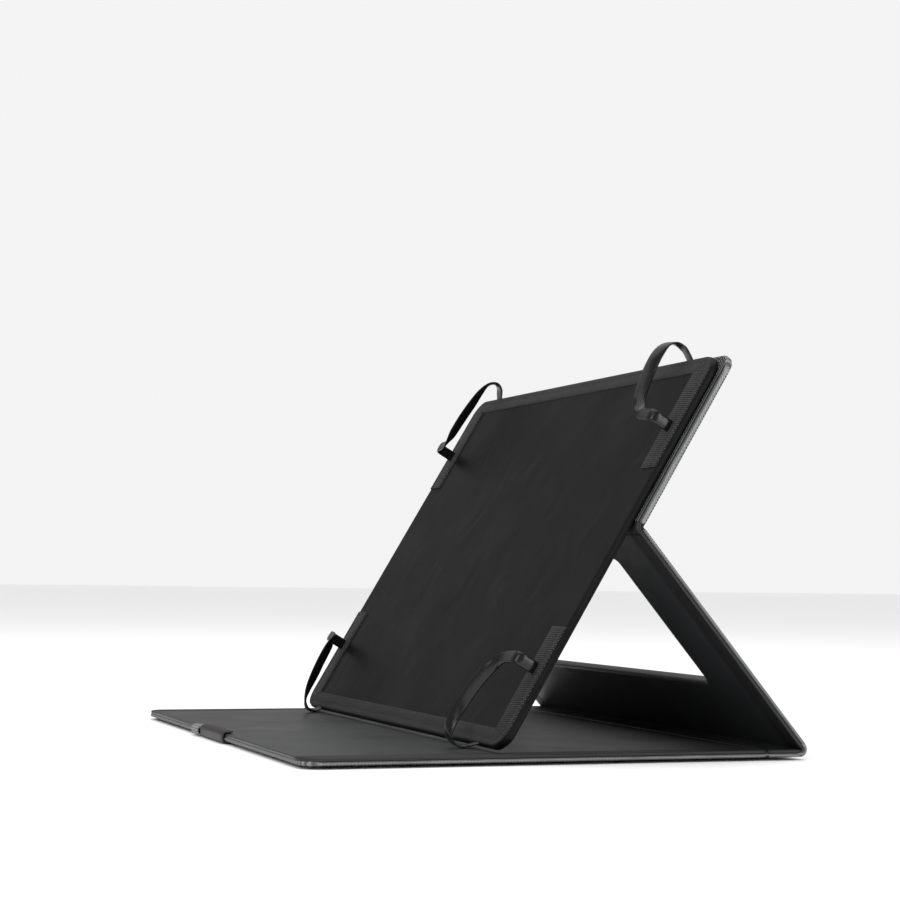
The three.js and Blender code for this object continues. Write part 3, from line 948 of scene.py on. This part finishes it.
strut_up = side_view(strut_frame.to_3x3() @ Vector((0, 1, 0)))
strut_in = side_view(strut_frame.to_3x3() @ Vector((0, 0, 1)))
heel_angle = math.degrees(strut_turn)
fabric = 0.7 * mm
FOLD_STEP = 0.4 * mm
heel_bulk = 2.3 * mm
heel_radius = stack - heel_bulk / 2
heel_centre = side_view(back_crease)
heel_path = [heel_centre + Vector((-1.6 * mm + FOLD_STEP * i, -heel_radius)) for i in range(4)]
heel_path += [turned(back_crease, heel_radius, -90 + heel_angle * i / 28) for i in range(29)]
heel_path += [heel_centre + strut_up * (FOLD_STEP * i) - strut_in * heel_radius for i in range(1, 5)]
heel_cloth = fold_strip("heel_fold_cloth", heel_path, heel_bulk, half_length, [cover_weave, edge_weave_painted_sheen], True)
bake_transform(heel_cloth)
bisector = -(180 - heel_angle) / 2
lining_depth = 0.25 * mm
heel_inner = [
    heel_centre + Vector((-1.6 * mm, -lining_depth)), heel_centre + Vector((-0.7 * mm, -lining_depth)),
    turned(back_crease, 0.22 * mm, bisector),
    heel_centre + strut_up * (0.7 * mm) - strut_in * lining_depth,
    heel_centre + strut_up * (1.6 * mm) - strut_in * lining_depth,
]
heel_lining = fold_strip(
    "heel_fold_lining", smooth_points(heel_inner, 6), 0.5 * mm, half_length - LINING_INSET,
    [cover_lining], False,
)
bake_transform(heel_lining)

# Window binding: a narrow rim of the woven fabric all round the window's edge, turned over
# the strut's board and glued down.
binding_line = [
    Vector(p) for p in border_line(
        window_half, window_low, window_high, window_radius, window_radius, -0.35 * mm, -stack / 2
    )[:-1]
]
# The binding takes the edge weave, painted lighter grey as sheen.
binding = sweep(
    "window_binding", binding_line, [Vector((0, 0, 1))] * len(binding_line),
    rounded_section(stack + 0.12 * mm, 1.5 * mm, 0.6 * mm), edge_weave_painted_sheen, closed=True,
)
binding.matrix_world = strut_frame
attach(binding, "strut")

# Upper back: the top of the back cover, a board wrapped in the ribbed fabric. It is bonded
# behind the tablet panel.
PANEL_TILT = math.radians(59.4)
panel_frame = Matrix.Translation(easel_crease) @ Matrix.Rotation(PANEL_TILT, 4, "X")


def panel_level(node):
    """Lowest and highest levels of a flat node above the panel frame's base, and its span along it."""
    spans = []
    for v in frame["nodes"][node].data.vertices:
        p = panel_frame.inverted() @ (frame["nodes"][node].matrix_world @ v.co)
        spans.append((p.z, p.y, p.x))
    zs, ys, xs = zip(*spans)
    return min(zs), max(zs), min(ys), max(ys), max(xs)


_, _, _, upper_top, _ = panel_level("upper_back_shell")
back_low, _, _, _, _ = panel_level("panel_backing")
upper_wrap = slab(
    "upper_back_wrap", half_length, crease_gap, upper_top, 0, back_low - BOND_LAP,
    crease_radius, opening_radius, [cover_weave, edge_weave_painted_sheen], ribbed_face=-1, edge_slot=1, creases="front",
)
upper_wrap.matrix_world = panel_frame
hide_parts("upper_back_shell", "upper_back_board")
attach(upper_wrap, "panel")

# Flap: the board and fabric cut from the strut's window, wrapped like the upper back. It is
# bonded to the back of the tablet panel, and fills the window when the case lies flat.
_, _, flap_y0, flap_y1, flap_half = panel_level("flap_shell")
flap_wrap = slab(
    "flap_wrap", flap_half, flap_y0, flap_y1, 0, back_low - BOND_LAP,
    window_radius, window_radius, [cover_weave, edge_weave_painted_sheen], ribbed_face=-1, edge_slot=1,
)
flap_wrap.matrix_world = panel_frame
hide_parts("flap_shell", "flap_board")
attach(flap_wrap, "panel")

# Easel fold: the covering folds sharply where the strut meets the upper back, and the lining
# rounds over the boards' edges inside it. This is the easel's hinge.
panel_up = side_view(panel_frame.to_3x3() @ Vector((0, 1, 0)))
panel_in = side_view(panel_frame.to_3x3() @ Vector((0, 0, 1)))
easel_centre = side_view(easel_crease)
strut_angle_in = math.degrees(math.atan2(strut_in.y, strut_in.x)) % 360
panel_angle_in = math.degrees(math.atan2(panel_in.y, panel_in.x)) % 360
middle_angle = (strut_angle_in + panel_angle_in) / 2
fold_depth = 0.42 * mm
easel_outer = [
    easel_centre - strut_up * (2.0 * mm) + strut_in * fold_depth,
    easel_centre - strut_up * (0.9 * mm) + strut_in * fold_depth,
    turned(easel_crease, fold_depth, middle_angle),
    easel_centre + panel_up * (0.9 * mm) + panel_in * fold_depth,
    easel_centre + panel_up * (2.0 * mm) + panel_in * fold_depth,
]
easel_cloth = fold_strip(
    "easel_fold_cloth", smooth_points(easel_outer, 6), fabric, half_length - 0.3 * mm,
    [cover_weave, edge_weave_painted_sheen], True,
)
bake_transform(easel_cloth)
easel_bulk = 2.0 * mm
lining_radius = stack - easel_bulk / 2
easel_inner = [easel_centre - strut_up * (FOLD_STEP * i) + strut_in * lining_radius for i in range(4, 0, -1)]
easel_inner += [
    turned(easel_crease, lining_radius, strut_angle_in + (panel_angle_in - strut_angle_in) * i / 16)
    for i in range(17)
]
easel_inner += [easel_centre + panel_up * (FOLD_STEP * i) + panel_in * lining_radius for i in range(1, 5)]
easel_lining = fold_strip(
    "easel_fold_lining", easel_inner, easel_bulk, half_length - LINING_INSET, [cover_lining], False
)
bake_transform(easel_lining)

# Tablet panel: a board covered in smooth black lining, front and back. The tablet lies
# against its face.
panel_black = make_grained_material(
    "panel_lining", (0.0025, 0.0025, 0.003), (0.006, 0.006, 0.0065), 0.45, 800, 0.04 * mm, 0.12, 0.35 * mm
)
_, face_high, panel_y0, panel_y1, panel_half = panel_level("panel_face")
panel_radius = 9 * mm
panel_core = slab(
    "panel_core", panel_half, panel_y0, panel_y1, back_low, face_high, panel_radius, panel_radius,
    [panel_black], faces_across=40,
)
panel_core.matrix_world = panel_frame
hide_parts("panel_backing", "panel_board", "panel_face")
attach(panel_core, "panel")

# Border trim: a strip of fine black woven fabric at the top and the bottom of the panel. It
# runs along the border, turns down both ends and is sewn on.
TRIM_SIDE = 13 * mm
TRIM_EDGE = 7 * mm
TRIM_LEG = 51 * mm
TRIM_INSET = 0.6 * mm
trim_low, trim_high, _, _, _ = panel_level("top_trim")
bay_middle = (panel_y0 + panel_y1) / 2
trim_weave = make_woven_material(
    "trim_weave", (0.003, 0.003, 0.003), (0.018, 0.018, 0.019), (0.10, 0.10, 0.102), pitch=0.9 * mm
)


def trim_path():
    """Outer and inner edge points of a trim strip, from one leg's end round to the other's."""
    edge = panel_y1 - bay_middle - TRIM_INSET
    half = panel_half - TRIM_INSET
    r = panel_radius - TRIM_INSET
    inner_x, inner_y = half - TRIM_SIDE, edge - TRIM_EDGE
    leg_end = edge - TRIM_LEG
    steps = 24
    pairs = []
    for i in range(steps + 1):
        y = leg_end + (edge - r - leg_end) * i / steps
        pairs.append(((half, y), (inner_x, leg_end + (inner_y - leg_end) * i / steps)))
    for i in range(1, 9):
        a = math.pi / 2 * i / 8
        corner = (half - r + r * math.cos(a), edge - r + r * math.sin(a))
        pairs.append((corner, (inner_x - 0.02 * mm * i, inner_y)))
    reach = half - r
    inner_reach = inner_x - 0.16 * mm
    for i in range(1, 2 * steps + 1):
        t = 1 - i / steps
        pairs.append(((reach * t, edge), (inner_reach * t, inner_y)))
    for outer, inner in reversed(pairs[: steps + 8]):
        pairs.append(((-outer[0], outer[1]), (-inner[0], inner[1])))
    return pairs


def border_trim(name, side):
    rings, ring_places = [], []
    travelled = 0.0
    previous = None
    rise = trim_high - trim_low
    for outer, inner in trim_path():
        o = Vector((outer[0] * side, bay_middle + outer[1] * side, 0))
        n = Vector((inner[0] * side, bay_middle + inner[1] * side, 0))
        wide = (n - o).length
        into = (n - o) / wide
        low = face_high - 0.05 * mm
        ring = []
        for t, z in (
            (0, low), (0, trim_low + 0.2 * mm), (0.25 * mm, trim_low + rise * 0.8), (0.7 * mm, trim_high),
            (2.4 * mm, trim_high), (2.8 * mm, trim_high - 0.18 * mm), (3.2 * mm, trim_high),
            (wide - 0.9 * mm, trim_high), (wide - 0.3 * mm, trim_high - 0.15 * mm), (wide, trim_low),
            (wide, low),
        ):
            ring.append(o + into * t + Vector((0, 0, z)))
        if previous is not None:
            travelled += (o - previous).length
        previous = o
        v = [0.0]
        for a, b in zip(ring, ring[1:] + ring[:1]):
            v.append(v[-1] + (a - b).length)
        rings.append(ring)
        ring_places.append((travelled, v))
    piece = loft(name, rings, ring_places, [trim_weave])
    return face_outwards(piece)


for trim_name, side in (("top_trim", 1), ("bottom_trim", -1)):
    trim = border_trim(trim_name + "_strip", side)
    trim.matrix_world = panel_frame
    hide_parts(trim_name)
    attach(trim, "panel")
    lines = []
    for shift in (2.8 * mm,):
        line = []
        for outer, inner in trim_path():
            o = Vector((outer[0], outer[1], 0))
            n = Vector((inner[0], inner[1], 0))
            p = o + (n - o).normalized() * shift
            line.append((p.x * side, bay_middle + p.y * side, trim_high - 0.12 * mm))
        lines.append(line)
    sewn = stitch_run(trim_name + "_stitches", lines, seam_thread, (0, 0, 1), pitch=2.6 * mm, stitch=1.9 * mm)
    sewn.matrix_world = panel_frame
    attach(sewn, "panel")

# Corner elastics: flat glossy rubber bands, out of a slot beside the tablet, over its corner
# and hooked round the other edge. They keep the shape that they have round a tablet.
TABLET_LENGTH = 240 * mm
TABLET_WIDTH = 169.5 * mm
ELASTIC_WIDTH = 5 * mm
ELASTIC_THICK = 1.2 * mm
band_rubber, band_tree, band_shader = new_material("band_rubber", 0.3, (0.01, 0.01, 0.011), 0.3)
band_place = place_node(band_tree)
band_noise = band_tree.nodes.new("ShaderNodeTexNoise")
band_noise.inputs["Scale"].default_value = 700
node_link(band_tree, band_place, band_noise.inputs["Vector"])
band_split = band_tree.nodes.new("ShaderNodeSeparateXYZ")
node_link(band_tree, band_place, band_split.inputs[0])
cord_turns = math_node(band_tree, "MULTIPLY", band_split.outputs["Y"], 2 * math.pi / (0.8 * mm))
cords = math_node(band_tree, "SINE", cord_turns)
cords = math_node(band_tree, "MULTIPLY_ADD", cords, 0.5, band_noise.outputs["Fac"])
node_link(band_tree, bump_node(band_tree, cords, 0.03 * mm), band_shader.inputs["Normal"])
band_rough = math_node(band_tree, "MULTIPLY_ADD", band_noise.outputs["Fac"], 0.14, 0.12)
node_link(band_tree, band_rough, band_shader.inputs["Roughness"])
node_link(
    band_tree,
    mix_colors(band_tree, band_noise.outputs["Fac"], (0.0025, 0.0025, 0.003), (0.007, 0.007, 0.007)),
    band_shader.inputs["Base Color"],
)
band_shader.inputs["Coat Weight"].default_value = 0.2
band_shader.inputs["Coat Roughness"].default_value = 0.08

# Control points from the tablet's corner: inwards along the length, inwards along the width,
# and up from the panel; then the direction of the band's width there.
elastic_route = (
    ((-0.9, 31.0, -1.5), (0, 1, 0)),
    ((-0.9, 31.0, 3.0), (0, 1, 0)),
    ((-0.8, 31.0, 6.8), (0, 1, 0)),
    ((0.8, 30.9, 8.6), (0.02, 1, 0)),
    ((5.0, 30.6, 8.9), (0.05, 1, 0)),
    ((9.5, 29.8, 9.1), (0.2, 1, 0.15)),
    ((13.0, 27.6, 9.6), (0.5, 0.6, 0.6)),
    ((15.5, 23.5, 10.4), (0.55, 0.2, 1)),
    ((18.2, 16.5, 10.9), (0.45, 0.1, 1)),
    ((20.5, 9.0, 10.9), (0.5, 0.1, 1)),
    ((22.0, 2.0, 10.6), (0.8, 0, 0.8)),
    ((22.6, -3.4, 9.2), (1, 0, 0.35)),
    ((22.0, -6.0, 6.2), (1, 0, 0)),
    ((20.2, -5.6, 2.8), (1, 0.1, -0.2)),
    ((18.0, -3.4, 0.4), (1, 0.1, -0.2)),
    ((16.6, -1.2, -1.5), (1, 0, 0)),
)
band_section = []
for i in range(24):
    a = 2 * math.pi * i / 24
    rise = math.copysign(abs(math.sin(a)) ** 0.8, math.sin(a))
    band_section.append((ELASTIC_WIDTH / 2 * math.cos(a), ELASTIC_THICK / 2 * rise))

for corner, sx, sy in (
    ("top_right", 1, 1), ("top_left", -1, 1), ("bottom_left", -1, -1), ("bottom_right", 1, -1),
):
    def in_panel(a, b, c):
        x = sx * (TABLET_LENGTH / 2 - a * mm)
        y = bay_middle + sy * (TABLET_WIDTH / 2 - b * mm)
        return Vector((x, y, trim_high + c * mm))

    route = smooth_points([in_panel(*p) for p, _ in elastic_route], 12)
    widths = smooth_points([Vector((-sx * w[0], -sy * w[1], w[2])) for _, w in elastic_route], 12)
    band = sweep("corner_band_" + corner, route, widths, band_section, band_rubber)
    face_outwards(band)
    band.matrix_world = panel_frame
    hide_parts("corner_elastic_" + corner)
    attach(band, "panel")
